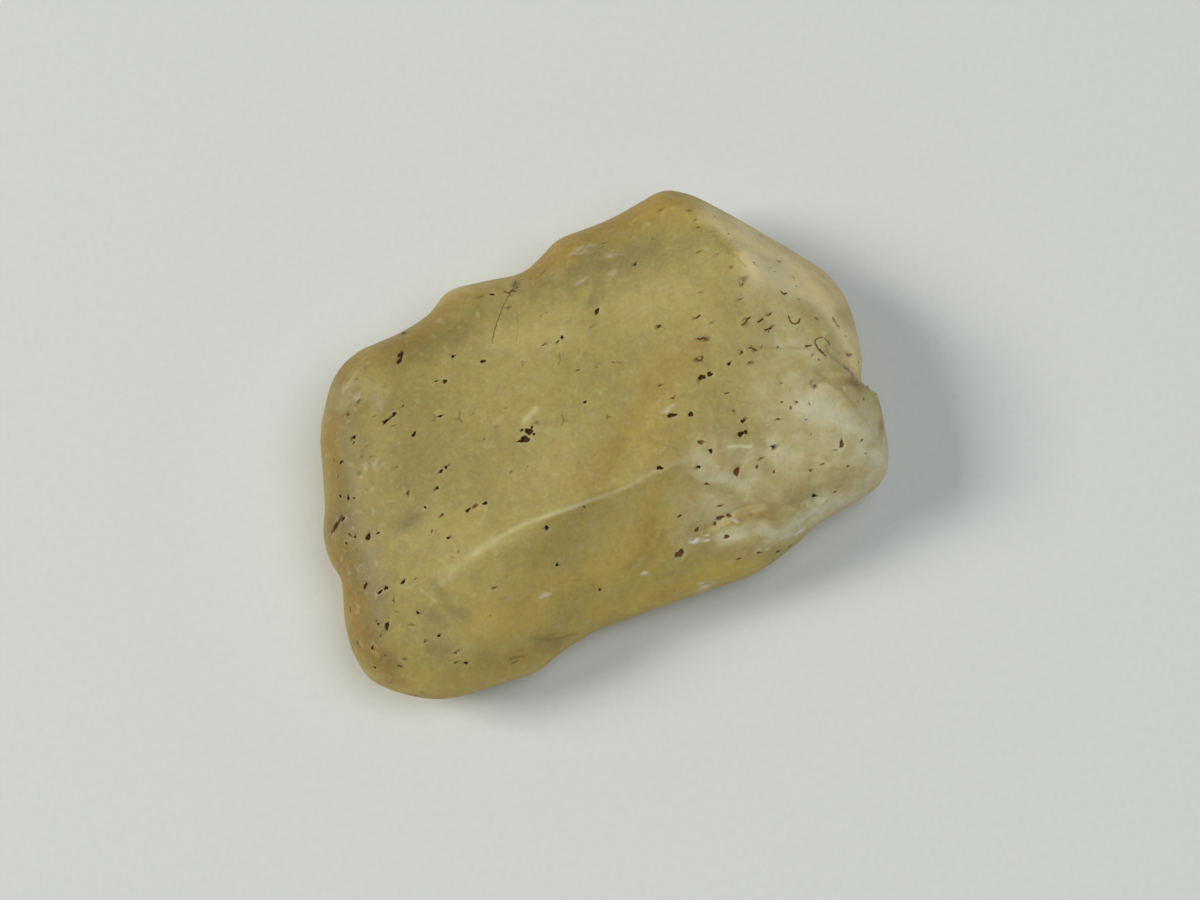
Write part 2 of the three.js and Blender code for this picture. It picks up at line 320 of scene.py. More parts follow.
# Open pits, each set by its place in the picture: across, down, then its length and width in mm, and
# its turn in degrees.
marks = {
    "dark": [
        (635, 264, 0.32, 0.26, 0), (597, 311, 0.58, 0.35, 60), (659, 326, 0.32, 0.29, 0),
        (492, 294, 0.43, 0.32, 0), (405, 333, 0.37, 0.29, 30), (399, 355, 0.26, 0.46, 20),
        (400, 361, 0.23, 0.52, -20), (453, 356, 0.32, 0.26, 0), (483, 361, 0.49, 0.29, 30),
        (445, 381, 0.46, 0.32, 30), (436, 381, 0.26, 0.17, 30), (562, 337, 0.35, 0.26, 20),
        (558, 341, 0.26, 0.14, 20), (543, 345, 0.26, 0.14, 20), (529, 431, 0.63, 0.58, 30),
        (525, 439, 0.86, 0.52, 10), (522, 430, 0.3, 0.22, 40), (534, 434, 0.28, 0.2, 20),
        (520, 441, 0.35, 0.28, 0), (532, 427, 0.3, 0.22, 60), (585, 402, 0.37, 0.20, 30),
        (440, 416, 0.43, 0.20, 30),
        (394, 414, 0.40, 0.32, 50), (386, 421, 0.75, 0.23, 38), (414, 434, 0.63, 0.23, 55),
        (354, 437, 0.35, 0.26, 0), (341, 462, 0.35, 0.26, 30), (446, 467, 0.32, 0.23, 50),
        (441, 471, 0.35, 0.26, 30), (437, 488, 0.35, 0.26, 0), (348, 498, 0.26, 0.40, 10),
        (340, 496, 0.35, 0.23, 0), (354, 498, 0.23, 0.14, 0), (468, 510, 0.46, 0.29, 40),
        (485, 503, 0.46, 0.26, 35), (425, 507, 0.20, 0.23, 0), (343, 519, 0.40, 0.26, 50),
        (335, 527, 0.86, 0.29, 52), (368, 537, 0.40, 0.58, -10), (355, 537, 0.29, 0.17, 0),
        (378, 533, 0.37, 0.17, 15), (346, 543, 0.23, 0.17, 0), (448, 538, 0.29, 0.20, 0),
        (547, 528, 0.37, 0.40, 0), (660, 468, 0.49, 0.37, 0), (672, 415, 0.81, 0.35, 0),
        (691, 414, 0.37, 0.49, 0), (710, 374, 0.52, 0.35, 30), (702, 377, 0.58, 0.46, 20),
        (729, 364, 0.35, 0.23, 30), (743, 421, 0.35, 0.32, 0), (741, 434, 0.52, 0.43, 0),
        (746, 432, 0.35, 0.32, 0), (711, 451, 0.35, 0.35, 0), (699, 467, 0.32, 0.29, 0),
        (773, 447, 0.29, 0.23, 0), (814, 496, 0.40, 0.35, 0), (557, 565, 0.26, 0.26, 0),
        (600, 590, 0.23, 0.26, 0), (365, 586, 0.29, 0.63, -20), (380, 592, 0.58, 0.20, 30),
        (386, 588, 0.35, 0.32, 0), (403, 582, 0.46, 0.26, 35), (418, 613, 0.26, 0.23, 0),
        (387, 626, 0.35, 0.63, -20), (378, 624, 0.17, 0.23, 0), (372, 648, 0.26, 0.37, -10),
        (357, 643, 0.17, 0.29, 0), (439, 636, 0.29, 0.23, -20), (466, 663, 0.40, 0.26, 0),
        (350, 610, 0.17, 0.58, 0), (375, 668, 0.26, 0.23, 0), (399, 666, 0.23, 0.17, 0),
    ],
    "brown": [
        (698, 227, 0.29, 0.17, 0), (799, 299, 0.29, 0.14, -20), (770, 314, 0.26, 0.23, 0),
        (740, 299, 0.40, 0.14, 10), (673, 398, 0.29, 0.23, 0), (660, 385, 0.29, 0.20, 0),
        (727, 393, 0.52, 0.14, 10), (782, 402, 0.29, 0.17, 0), (791, 407, 0.23, 0.17, 0),
        (797, 402, 0.29, 0.17, 0), (778, 419, 0.40, 0.17, 10), (701, 442, 0.52, 0.35, 20),
        (762, 458, 0.23, 0.17, 0), (774, 472, 0.23, 0.20, 0), (737, 472, 0.58, 0.63, 0),
        (757, 467, 0.23, 0.35, 0), (707, 484, 0.37, 0.26, -30), (842, 444, 0.46, 0.58, 0),
        (862, 440, 0.23, 0.17, 0), (835, 492, 0.35, 0.17, 20), (823, 464, 0.29, 0.17, 0),
        (811, 471, 0.23, 0.17, 0), (848, 466, 0.23, 0.17, 0), (442, 515, 0.37, 0.29, 30),
        (432, 531, 0.26, 0.17, 60), (475, 506, 0.7, 0.26, 35), (584, 507, 0.35, 0.17, -30),
        (680, 516, 0.35, 0.26, 20),
        (720, 506, 0.26, 0.20, 0), (720, 518, 0.75, 0.37, 0), (729, 516, 0.40, 0.35, 0),
        (715, 524, 0.29, 0.32, 0), (697, 530, 0.46, 0.35, 30), (727, 537, 0.52, 0.37, 0),
        (680, 554, 0.75, 0.69, 0), (778, 552, 0.40, 0.35, 30), (790, 546, 0.52, 0.29, 15),
        (403, 406, 0.23, 0.17, 30), (408, 493, 0.32, 0.35, 0), (739, 559, 0.52, 0.17, 0),
        (759, 553, 0.35, 0.23, 0), (495, 588, 0.23, 0.17, 0), (578, 370, 0.34, 0.15, 0),
        (742, 352, 0.3, 0.28, 0), (750, 362, 0.26, 0.14, 0), (613, 362, 0.2, 0.15, 0),
    ],
    "green": [
        (608, 417, 0.29, 0.26, 0), (591, 327, 0.23, 0.26, 0), (528, 466, 0.26, 0.17, 0),
        (597, 367, 0.26, 0.20, 0), (768, 315, 0.3, 0.26, 0), (413, 625, 0.34, 0.22, 0),
    ],
    # How dark each kind's filling is, its tone and its depth as a share of its width. The tone runs
    # from clay, 0, through rust, 1, to moss, 2.
    "filling": {"dark": (1.0, 0.15, 0.5), "brown": (0.9, 0.85, 0.45), "green": (0.8, 2, 0.3)},
    "deepest": 0.45,
    "scattered": (0.8, 0.4),  # how dark the scattered ones are, and their depth by their width
    "lipHighlight": 0.25,  # how bright the painted highlight on the lip round some pits is
    "rustyCore": 0.35,  # how much browner the middle of a wide pit is
    "wide": 0.13,  # half width from which a pit is wide
    # The rest is in half widths of the pit, out from its middle.
    "wobble": (0.16, 0.13, 0.08),  # how far its outline strays, in 2, 3 and 5 waves round it
    "bowl": (1.15, 1.3),  # where its bowl begins, and how steep the bowl's side is
    "fillingEnds": (0.75, 1.05),
    "coreEnds": (0.15, 0.7),
    "lipAt": (1.35, 0.3),  # middle of the lip's painted highlight, and its width
    "reach": 2.2,  # past this many half lengths the skin is left alone
    "seed": 5,
}

# Curved shell marks and fine cracks: points in the picture, width in mm, how dark, how brown.
cracks = [
    ([(516, 280), (514, 287), (508, 297), (502, 309), (497, 322), (494, 332), (492, 343)], 0.06, 0.65, 0.6),
    ([(505, 291), (509, 293), (513, 290), (516, 291)], 0.1, 0.7, 0.7),
    ([(516, 284), (517, 289)], 0.09, 0.6, 0.6),
    ([(517, 312), (518, 326), (516, 342)], 0.07, 0.25, 0.4),
    ([(816, 339), (815, 343), (817, 347), (821, 351), (826, 356)], 0.09, 0.7, 0.6),
    ([(816, 339), (820, 338), (824, 338), (828, 341), (830, 344)], 0.08, 0.6, 0.6),
    ([(789, 316), (790, 320), (792, 323), (796, 324), (799, 322), (800, 319)], 0.09, 0.8, 0.6),
    ([(782, 292), (784, 294), (787, 293)], 0.11, 0.85, 0.5),
    ([(740, 283), (741, 286), (743, 285), (743, 280), (745, 275)], 0.09, 0.55, 0.9),
    ([(833, 317), (835, 322), (839, 327)], 0.08, 0.5, 0.2),
    ([(846, 353), (849, 356), (851, 354)], 0.1, 0.6, 0.7),
    ([(742, 325), (745, 323), (747, 320), (750, 317)], 0.1, 0.75, 0.5),
    ([(758, 322), (763, 319)], 0.1, 0.8, 0.4),
    ([(766, 330), (771, 328)], 0.11, 0.85, 0.3),
    ([(749, 348), (753, 348), (757, 350)], 0.1, 0.75, 0.3),
    ([(761, 349), (762, 346)], 0.09, 0.5, 0.8),
    ([(806, 346), (811, 346)], 0.1, 0.8, 0.4),
    ([(698, 338), (701, 339), (704, 337), (706, 340)], 0.12, 0.8, 0.7),
    ([(696, 318), (700, 315)], 0.11, 0.8, 0.4),
    ([(710, 323), (713, 322)], 0.09, 0.55, 0.8),
    ([(697, 358), (699, 361), (702, 359), (703, 356)], 0.12, 0.8, 0.8),
    ([(560, 353), (560, 360), (559, 364)], 0.09, 0.4, 0.7),
    ([(523, 361), (522, 366)], 0.08, 0.4, 0.6),
    ([(613, 362), (622, 362)], 0.08, 0.35, 0.8),
    ([(530, 637), (545, 640), (560, 638), (576, 634)], 0.16, 0.16, 0.9),
    ([(511, 659), (524, 656)], 0.16, 0.35, 1.0),
    ([(714, 235), (730, 251), (746, 266)], 0.14, 0.16, 0.9),
    ([(821, 352), (836, 362), (849, 372)], 0.08, 0.12, 0.9),
    ([(402, 352), (401, 357), (398, 362)], 0.2, 0.8, 0.2),
    ([(396, 413), (390, 418), (383, 422)], 0.14, 0.7, 0.3),
    ([(342, 517), (337, 524), (332, 532)], 0.18, 0.6, 0.1),
    ([(460, 411), (459, 418), (462, 422)], 0.09, 0.5, 0.6),
    ([(475, 408), (473, 414)], 0.08, 0.4, 0.7),
    ([(434, 420), (436, 417), (433, 414)], 0.08, 0.4, 0.7),
    ([(562, 415), (564, 420), (562, 424)], 0.1, 0.5, 0.9),
    ([(728, 395), (740, 401), (752, 404)], 0.08, 0.14, 0.9),
]
crackLook = {
    "stray": (0.3, 0.8),  # size of a crack's waves in mm, and its stray in pixels
    "darker": 1.25,  # all of them darkened by this
    "ends": (0.6, 1.9),  # where its filling fades out, in half widths
    "facing": (0, 0.2),  # they fade in over this range of the normal's Z
}

# Fine pits that the picture doesn't single out, scattered by zone: middle, half widths, count, sizes.
scatter = {
    "zones": [
        ((-18, 0, 8), (5, 12, 7), 80, (0.05, 0.14)),
        ((15, 2, 8), (7, 12, 7), 90, (0.05, 0.13)),
        ((0, 8, 10), (16, 8, 6), 46, (0.05, 0.1)),
        ((0, 0, 2), (22, 14, 2.5), 60, (0.1, 0.3)),
    ],
    "brownShare": 0.6,
    "tones": (1.0, 0.2),  # of the brown ones, and of the others
    "roundness": (0.5, 1),  # their width as a share of their length
    "seed": 11,
}


# Every pit as a place on the skin, its normal, its long and wide half axes, depth and filling.
def placePits():
    surface = BVHTree.FromPolygons([Vector(p) for p in places], triangles.tolist())
    right, up, _ = cameraAxes()
    pits = []

    def addPit(place, normal, along, length, width, dark, brown, depth):
        place, normal = np.array(place), np.array(normal)
        along = unit(along - normal * (along @ normal))
        if width > length:
            length, width, along = width, length, np.cross(normal, along)
        depth = min(depth * width, marks["deepest"])
        across = np.cross(normal, along)
        pits.append((place, normal, along, across, length / 2, width / 2, depth, dark, brown))

    for kind, (dark, brown, depth) in marks["filling"].items():
        for column, row, length, width, turn in marks[kind]:
            start, ray = sightLine(column, row)
            place, normal, _, _ = surface.ray_cast(Vector(start), Vector(ray))
            if place is None:
                print("mark off the stone:", column, row)
                continue
            t = math.radians(turn)
            along = right * math.cos(t) + up * math.sin(t)
            addPit(place, normal, along, length, width, dark, brown, depth)
    draw = np.random.default_rng(scatter["seed"])
    dark, depth = marks["scattered"]
    for middle, half, count, (least, most) in scatter["zones"]:
        for _ in range(count):
            near = np.array(middle) + draw.uniform(-1, 1, 3) * np.array(half) - centre
            place, normal, _, _ = surface.find_nearest(Vector(near))
            length = 2 * (least + (most - least) * draw.random() ** 2)
            width = length * draw.uniform(*scatter["roundness"])
            brown = scatter["tones"][0 if draw.random() < scatter["brownShare"] else 1]
            addPit(place, normal, draw.normal(size=3), length, width, dark, brown, depth)
    return pits


pits = placePits()
print("pits placed:", len(pits))


# Where the mesh is made finer.
fineness = {
    "facing": -0.15,  # least Z of the normal for the first halving
    "pit": 1.4,  # half lengths of the pit out from its middle
    "crack": 2.2,  # picture pixels out from the line
    "ledge": 0.8,  # mm out from the line
    "pale": 3,  # picture pixels beyond the stroke's half width
}


# Halves the triangles whose edges' middles are wanted, and keeps the mesh closed.
def splitEdges(wanted):
    global directions, triangles, places, normals
    sides = np.sort(np.concatenate([triangles[:, [0, 1]], triangles[:, [1, 2]], triangles[:, [2, 0]]]), 1)
    edges, which = np.unique(sides, axis=0, return_inverse=True)
    chosen = wanted(places[edges].mean(1), unit(normals[edges].mean(1)))
    number = np.full(len(edges), -1)
    number[chosen] = len(directions) + np.arange(chosen.sum())
    added = unit(directions[edges[chosen]].sum(1))
    newPlaces, newNormals = skin(added)
    directions = np.concatenate([directions, added])
    places = np.concatenate([places, newPlaces - centre])
    normals = np.concatenate([normals, newNormals])
    mids = number[which.reshape(-1)].reshape(3, -1).T
    split = mids >= 0
    count = split.sum(1)
    turn = np.where(count == 1, split.argmax(1), np.where(count == 2, ((~split).argmax(1) + 1) % 3, 0))
    order = (turn[:, None] + np.arange(3)) % 3
    a, b, c = np.take_along_axis(triangles, order, 1).T
    ab, bc, ca = np.take_along_axis(mids, order, 1).T
    pieces = []
    for many, corners in [
        (0, [(a, b, c)]),
        (1, [(a, ab, c), (ab, b, c)]),
        (2, [(a, ab, c), (ab, b, bc), (ab, bc, c)]),
        (3, [(a, ab, ca), (ab, b, bc), (ca, bc, c), (ab, bc, ca)]),
    ]:
        rows = count == many
        pieces += [np.stack(corner, 1)[rows] for corner in corners]
    triangles = np.concatenate(pieces)


# How far points that face the camera are from a line in the picture, in picture pixels.
def fromLine(seen, line):
    return np.hypot(*besideLine(seen, line))


def facingUp(p, normal):
    return normal[:, 2] > fineness["facing"]


def nearPits(p, normal):
    found = np.zeros(len(p), bool)
    for place, _, _, _, long, wide, _, _, _ in pits:
        reach = long * fineness["pit"]
        box = np.abs(p - place).max(1) < reach
        found[box] |= np.linalg.norm(p[box] - place, axis=1) < reach
    return found | nearCracks(p, normal)


def nearCracks(p, normal):
    seen = pictureOf(p)
    found = np.zeros(len(p), bool)
    for line, _, _, _ in cracks:
        found |= fromLine(seen, line) < fineness["crack"]
    return found & (normal[:, 2] > 0)


def nearEdges(p, normal):
    at = p + centre
    found = np.zeros(len(p), bool)
    for line, _, _ in pebble["ledges"]:
        found |= np.hypot(*besideLine(at, line)) < fineness["ledge"]
    seen = pictureOf(p)
    for line, halfWidth, _ in zones["pale"]:
        found |= fromLine(seen, line) < halfWidth + fineness["pale"]
    return (found & (normal[:, 2] > 0)) | nearPits(p, normal)


# Tones of the skin, each a stroke in the picture: points, half width in pixels, strength.
zones = {
    # Amber: partly the glass's own deeper tone, partly painted shade, the dark band along the dish's valley
    # and the darker rims.
    "amber": [
        ([(532, 272), (556, 250), (600, 227), (640, 207), (672, 193)], 17, 0.68),
        ([(655, 205), (684, 200)], 18, 0.3),
        ([(586, 486), (606, 468), (622, 446), (634, 424), (650, 402)], 13, 0.35),
        ([(650, 402), (672, 370), (700, 350)], 16, 0.35),
        ([(650, 442), (676, 440)], 20, 0.25),
        ([(640, 562), (652, 520)], 16, 0.25),
        ([(740, 576), (700, 592), (660, 600)], 8, 0.2),
        ([(760, 236), (800, 262), (840, 292), (851, 320), (858, 350), (862, 374)], 6, 0.22),
        ([(490, 668), (520, 660), (560, 640)], 12, 0.3),
        ([(334, 420), (330, 470), (334, 530)], 10, 0.35),
        ([(340, 560), (352, 610), (370, 650), (400, 684)], 13, 0.55),
        ([(345, 372), (400, 340), (430, 320), (450, 300), (500, 286)], 9, 0.4),
    ],
    "gold": [
        ([(500, 630), (540, 600), (590, 576), (640, 550), (662, 524)], 34, 0.55),
        ([(410, 690), (460, 688), (520, 668), (600, 624)], 22, 0.6),
        ([(600, 616), (640, 604), (700, 590)], 18, 0.85),
        ([(690, 590), (720, 578), (750, 568)], 16, 0.8),
        ([(586, 486), (606, 468), (622, 446), (640, 420), (660, 384)], 20, 0.35),
        ([(640, 206), (672, 202), (700, 214)], 14, 0.4),
    ],
    "smoke": [
        ([(560, 262), (600, 258), (636, 256)], 9, 0.3),
        ([(580, 266), (620, 260), (644, 250)], 15, 0.4),
        ([(546, 284), (580, 270), (620, 264), (652, 254)], 24, 0.45),
        ([(670, 250), (700, 240)], 18, 0.2),
        ([(598, 262), (604, 290)], 12, 0.4),
        ([(600, 290), (598, 300)], 8, 0.5),
        ([(474, 304), (486, 300), (504, 310)], 13, 0.3),
        ([(400, 522), (412, 514)], 9, 0.6),
        ([(342, 518), (330, 534)], 10, 0.8),
        ([(366, 560), (374, 606), (366, 640)], 14, 0.35),
        ([(434, 586), (442, 598)], 6, 0.35),
        ([(446, 608), (458, 616)], 8, 0.4),
        ([(430, 622), (440, 626)], 6, 0.3),
        ([(432, 646), (444, 648)], 7, 0.35),
        ([(372, 604), (380, 598)], 8, 0.5),
        ([(376, 656), (392, 660)], 9, 0.5),
        ([(540, 640), (556, 638)], 9, 0.35),
    ],
    # Painted shade: the left side and the top left are made darker, standing in for the light that goes
    # through the glass and comes out on the right.
    "deep": [
        ([(340, 370), (340, 440), (344, 540), (366, 640)], 34, 0.8),
        ([(390, 350), (430, 336), (460, 330)], 28, 0.65),
        ([(400, 400), (410, 470)], 40, 0.35),
        ([(420, 480), (520, 470)], 40, 0.2),
    ],
    "crust": [
        ([(716, 470), (740, 474), (800, 448), (850, 420)], 30, 0.68),
        ([(700, 498), (760, 490), (840, 460)], 28, 0.5),
        ([(780, 400), (806, 360), (790, 330)], 34, 0.44),
        ([(770, 284), (786, 316), (800, 350)], 28, 0.45),
        ([(810, 410), (850, 440), (880, 452)], 32, 0.85),
        ([(686, 486), (686, 536)], 16, 0.3),
        ([(704, 216), (722, 228)], 10, 0.25),
        ([(724, 536), (770, 530), (800, 520)], 12, 0.8),
        ([(344, 400), (356, 384), (372, 392)], 14, 0.19),
        ([(820, 516), (850, 500), (882, 474), (888, 440)], 22, 1.0),
    ],
    # The pale frosted facet at the upper right: partly its own paler tone, partly painted light, the glow of
    # light that has gone through the glass. The same painted light brightens the right rim and covers the
    # shaded folds by the ledges.
    "bevel": [
        ([(736, 232), (760, 245), (800, 270), (835, 300)], 17, 0.95),
        ([(710, 216), (736, 236), (748, 256)], 11, 0.55),
        ([(748, 256), (770, 276), (806, 288)], 13, 0.9),
        ([(800, 284), (832, 306), (848, 340), (858, 370)], 14, 0.95),
        ([(812, 388), (838, 381), (862, 383)], 7, 0.55),
        ([(838, 398), (856, 416), (868, 436)], 7, 0.35),
        ([(886, 440), (884, 478), (862, 493), (836, 508)], 7, 0.6),
    ],
    "window": [
        ([(780, 490), (800, 488)], 13, 0.25),
        ([(722, 456), (734, 466)], 8, 0.7),
        ([(734, 516), (770, 508)], 9, 0.65),
        ([(690, 548), (720, 552), (758, 550)], 9, 0.5),
        ([(680, 484), (690, 504)], 13, 0.55),
        ([(846, 486), (866, 480)], 9, 0.5),
        ([(845, 312), (853, 340), (858, 368)], 5.5, 0.15),
    ],
    "tan": [
        ([(852, 379), (860, 390)], 5, 0.6),
        ([(877, 427), (879, 432)], 5.5, 0.7),
        ([(886, 416), (890, 450), (884, 478), (862, 493), (836, 508)], 6, 0.12),
        ([(734, 514), (768, 510)], 9, 0.42),
        ([(736, 468), (738, 476)], 4, 0.4),
    ],
    "light": [
        ([(640, 300), (680, 290)], 26, 0.5),
        ([(700, 270), (716, 310), (700, 340), (740, 336)], 26, 0.3),
        ([(470, 344), (520, 338), (568, 330)], 17, 0.45),
        ([(540, 470), (566, 450)], 22, 0.35),
        ([(450, 650), (500, 640)], 18, 0.3),
        ([(540, 590), (570, 570), (620, 530)], 26, 0.3),
    ],
    # Pale lines along the crest and the ledges: partly worn frosting, partly painted highlight where light
    # catches their edges. The painted highlights on the pits' lips are laid into them too.
    "pale": [
        ([(441, 584), (455, 568), (473, 555)], 4.9, 0.16),
        ([(473, 555), (496, 539)], 4.5, 0.3),
        ([(496, 539), (524, 524), (541, 518)], 2.6, 0.34),
        ([(541, 518), (565, 510), (586, 502), (600, 497)], 2.1, 0.5),
        ([(600, 497), (620, 490), (640, 480)], 2.1, 0.36),
        ([(640, 480), (662, 468), (700, 455), (726, 449)], 2.6, 0.3),
        ([(728, 447), (740, 446), (751, 447)], 1.8, 0.9),
        ([(419, 588), (436, 601)], 1.3, 0.3),
        ([(717, 226), (730, 239), (751, 259)], 2, 0.35),
        ([(774, 350), (795, 350), (813, 351)], 2.2, 0.35),
        ([(794, 391), (815, 398), (836, 412), (852, 430), (864, 434)], 1.6, 0.4),
        ([(770, 338), (796, 348)], 8, 0.35),
        ([(524, 422), (530, 415), (536, 409)], 3.4, 0.4),
    ],
    # Small chips, painted near white: a painted highlight, the glint off their glossy faces.
    "chip": [
        ([(691, 540), (695, 542), (702, 541), (708, 537)], 1.8, 0.9),
        ([(797, 532), (802, 529)], 2.2, 1.0),
        ([(778, 541), (786, 538), (794, 534)], 2, 0.4),
        ([(697, 580), (703, 585), (710, 588)], 1.6, 0.75),
        ([(699, 585), (704, 591)], 1.5, 0.7),
        ([(709, 581), (714, 586)], 1.5, 0.5),
        ([(687, 578), (689, 580)], 1.6, 0.7),
        ([(677, 570), (681, 572)], 1.6, 0.7),
        ([(642, 573), (645, 573)], 2.2, 0.6),
        ([(541, 597), (549, 594)], 2.6, 0.6),
        ([(737, 551), (739, 553)], 2, 0.7),
        ([(727, 562), (731, 563)], 1.8, 0.6),
        ([(758, 545), (766, 550), (774, 546)], 2.4, 0.6),
        ([(733, 519), (736, 521)], 2, 0.6),
        ([(804, 420), (805, 420)], 1.6, 1.0),
        ([(664, 411), (672, 405)], 3, 0.35),
        ([(795, 436), (799, 436)], 2, 0.4),
        ([(574, 254), (584, 250), (592, 248)], 3.6, 0.3),
        ([(606, 257), (615, 255)], 3, 0.3),
        ([(578, 280), (586, 280)], 3, 0.3),
        ([(612, 274), (616, 273)], 2.6, 0.35),
        ([(586, 622), (588, 620)], 2, 0.4),
        ([(718, 532), (722, 528)], 2, 0.5),
        ([(372, 396), (380, 404)], 4, 0.25),
        ([(344, 388), (350, 380)], 3, 0.25),
        ([(352, 400), (360, 394)], 3, 0.2),
        ([(366, 468), (378, 464)], 4, 0.3),
    ],
}

# How the strokes lie on the skin. A range is of the normal's Z.
strokes = {
    "allRound": ("crust", "bevel", "gold", "light"),  # kinds that go on below the girdle
    "facing": (-0.2, 0.2),  # the other kinds fade in over this range
    "stray": [(3.0, 9.0), (0.9, 3.5)],  # size of the waves of their edges in mm, stray in pixels
    "crispest": 5.0,  # strokes narrower than this many pixels don't stray
    "ragged": (0.4, 3.6),  # waves and stray of the chips' edges
    "broken": (-0.35, 0.05),  # the same waves break the chips up, over this range of their height
    "edgePower": {"chip": 4, "crust": 3, "window": 4},  # how crisp the edges of a kind are
    "softPower": 2,  # the same for the other kinds
    "wallAmberShade": (0.35, 0.0, 0.5),  # how much deeper amber the steep skin all round is painted, a painted shade of the rims, and its range
    "paintedUnderGlow": (0.85, -0.8, 0.35),  # how bright the painted glow on the undercuts is, and its range
}

for wanted in (facingUp, nearEdges, nearPits, nearPits):
    splitEdges(wanted)
print("finer skin:", len(triangles), "triangles")


# Sinks the pits, and notes how dark and brown each point's filling is, and how bright the painted highlight
# on their lips is.
def sinkPits():
    shade, brown, depthOf, lipHighlight = (np.zeros(len(places)) for _ in range(4))
    draw = np.random.default_rng(marks["seed"])
    two, three, five = marks["wobble"]
    bowl, steepness = marks["bowl"]
    lipMiddle, lipWidth = marks["lipAt"]
    for place, normal, along, across, long, wide, depth, dark, brownness in pits:
        phase = draw.uniform(0, 2 * np.pi, 3)
        lip = marks["lipHighlight"] * draw.random()
        close = np.nonzero(np.abs(places - place).max(1) < long * marks["reach"])[0]
        offset = places[close] - place
        u, v = offset @ along / long, offset @ across / wide
        angle = np.arctan2(v, u)
        wobble = 1 + two * np.sin(2 * angle + phase[0]) + three * np.sin(3 * angle + phase[1])
        away = np.hypot(u, v) / (wobble + five * np.sin(5 * angle + phase[2]))
        sink = depth * np.clip(1 - (away / bowl) ** 2, 0, 1) ** steepness
        depthOf[close] = np.maximum(depthOf[close], sink)
        here = dark * (1 - ramp(away, *marks["fillingEnds"]))
        core = marks["rustyCore"] * (1 - ramp(away, *marks["coreEnds"])) * (wide > marks["wide"])
        tone = brownness if brownness > 1 else np.minimum(brownness + core, 1)
        brown[close] = np.where(here > shade[close], tone, brown[close])
        shade[close] = np.maximum(shade[close], here)
        lipHighlight[close] = np.maximum(lipHighlight[close], lip * np.exp(-(((away - lipMiddle) / lipWidth) ** 2)))
    seen = pictureOf(places)
    towards = ramp(normals[:, 2], *crackLook["facing"])
    scale = camera["distance"] * pixel  # mm of the stone in one picture pixel
    near = np.nonzero(nearCracks(places, normals))[0]
    size, amount = crackLook["stray"]
    seen[near] += amount * np.array([noise.noise_vector(Vector(p / size))[:2] for p in places[near]])
    for line, width, dark, brownness in cracks:
        away = fromLine(seen, line) * scale / (width / 2)
        here = min(dark * crackLook["darker"], 1) * (1 - ramp(away, *crackLook["ends"])) * towards
        brown = np.where(here > shade, brownness, brown)
        shade = np.maximum(shade, here)
        depthOf = np.maximum(depthOf, here * width / 2)
    return shade, brown, depthOf, lipHighlight * (1 - shade)


pitShade, pitBrown, pitDepth, pitLipHighlight = sinkPits()
places = places - normals * pitDepth[:, None]
places[:, 2] = np.maximum(places[:, 2], 0)
print("pits sunk, deepest", round(float(pitDepth.max()), 2), "mm")


def zoneValues():
    seen = pictureOf(places)
    towards = ramp(normals[:, 2], *strokes["facing"])
    strayed = seen.copy()
    for size, amount in strokes["stray"]:
        strayed += amount * np.array([noise.noise_vector(Vector(p / size))[:2] for p in places])
    size, amount = strokes["ragged"]
    waves = np.array([noise.noise_vector(Vector(p / size)) for p in places])
    ragged = seen + amount * waves[:, :2]
    values = {}
    for kind, lines in zones.items():
        value = np.zeros(len(places))
        power = strokes["edgePower"].get(kind, strokes["softPower"])
        for line, halfWidth, strength in lines:
            at = strayed if halfWidth > strokes["crispest"] else ragged if kind == "chip" else seen
            value = np.maximum(value, strength * np.exp(-((fromLine(at, line) / halfWidth) ** power)))
        values[kind] = value if kind in strokes["allRound"] else value * towards
    values["chip"] *= ramp(waves[:, 2], *strokes["broken"])
    # The undercuts get a painted glow, standing in for the light that comes out through them.
    glow, least, most = strokes["paintedUnderGlow"]
    values["glow"] = glow * (1 - ramp(normals[:, 2], least, most))
    # The steep skin all round is painted deeper amber, a painted shade of the rims.
    amber, least, most = strokes["wallAmberShade"]
    steep = 1 - ramp(normals[:, 2], least, most)
    values["amber"] = np.maximum(values["amber"], amber * steep)
    # The pits' lips get their painted highlight among the pale strokes.
    values["pale"] = np.maximum(values["pale"], pitLipHighlight)
    return values


def makePiece(name, attributes):
    mesh = bpy.data.meshes.new(name)
    mesh.from_pydata((places * mm).tolist(), [], triangles.tolist())
    mesh.polygons.foreach_set("use_smooth", np.ones(len(mesh.polygons), bool))
    for key, values in attributes.items():
        mesh.attributes.new(key, "FLOAT", "POINT").data.foreach_set("value", values.astype(np.float32))
    piece = bpy.data.objects.new(name, mesh)
    bpy.context.scene.collection.objects.link(piece)
    return piece


stone = makePiece("stone", {"pitShade": pitShade, "pitBrown": pitBrown, **zoneValues()})
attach(stone, "root")
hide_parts("glass_pebble")
print("stone made")


# One sRGB hex value as linear light.
def colour(code):
    parts = [int(code[i : i + 2], 16) / 255 for i in (1, 3, 5)]
    return [c / 12.92 if c <= 0.04045 else ((c + 0.055) / 1.055) ** 2.4 for c in parts] + [1.0]


# A new material, and the function that adds a node to it: its settings, then for each input a value,
# a colour as a hex code or another node's output. It gives back the output that is asked for.
def newMaterial(name):
    material = bpy.data.materials.new(name)
    material.use_nodes = True
    tree = material.node_tree
    tree.nodes.clear()

    def add(kind, settings, inputs, output=0):
        node = tree.nodes.new(kind)
        for key, value in settings.items():
            setattr(node, key, value)
        for key, value in inputs.items():
            if isinstance(value, bpy.types.NodeSocket):
                tree.links.new(value, node.inputs[key])
            else:
                node.inputs[key].default_value = colour(value) if isinstance(value, str) else value
        return node.outputs[output] if node.outputs else node

    return material, add


# A mix of colours: input 0 is its share, 6 and 7 are its colours, and output 2 is its result.
rgba = {"data_type": "RGBA"}


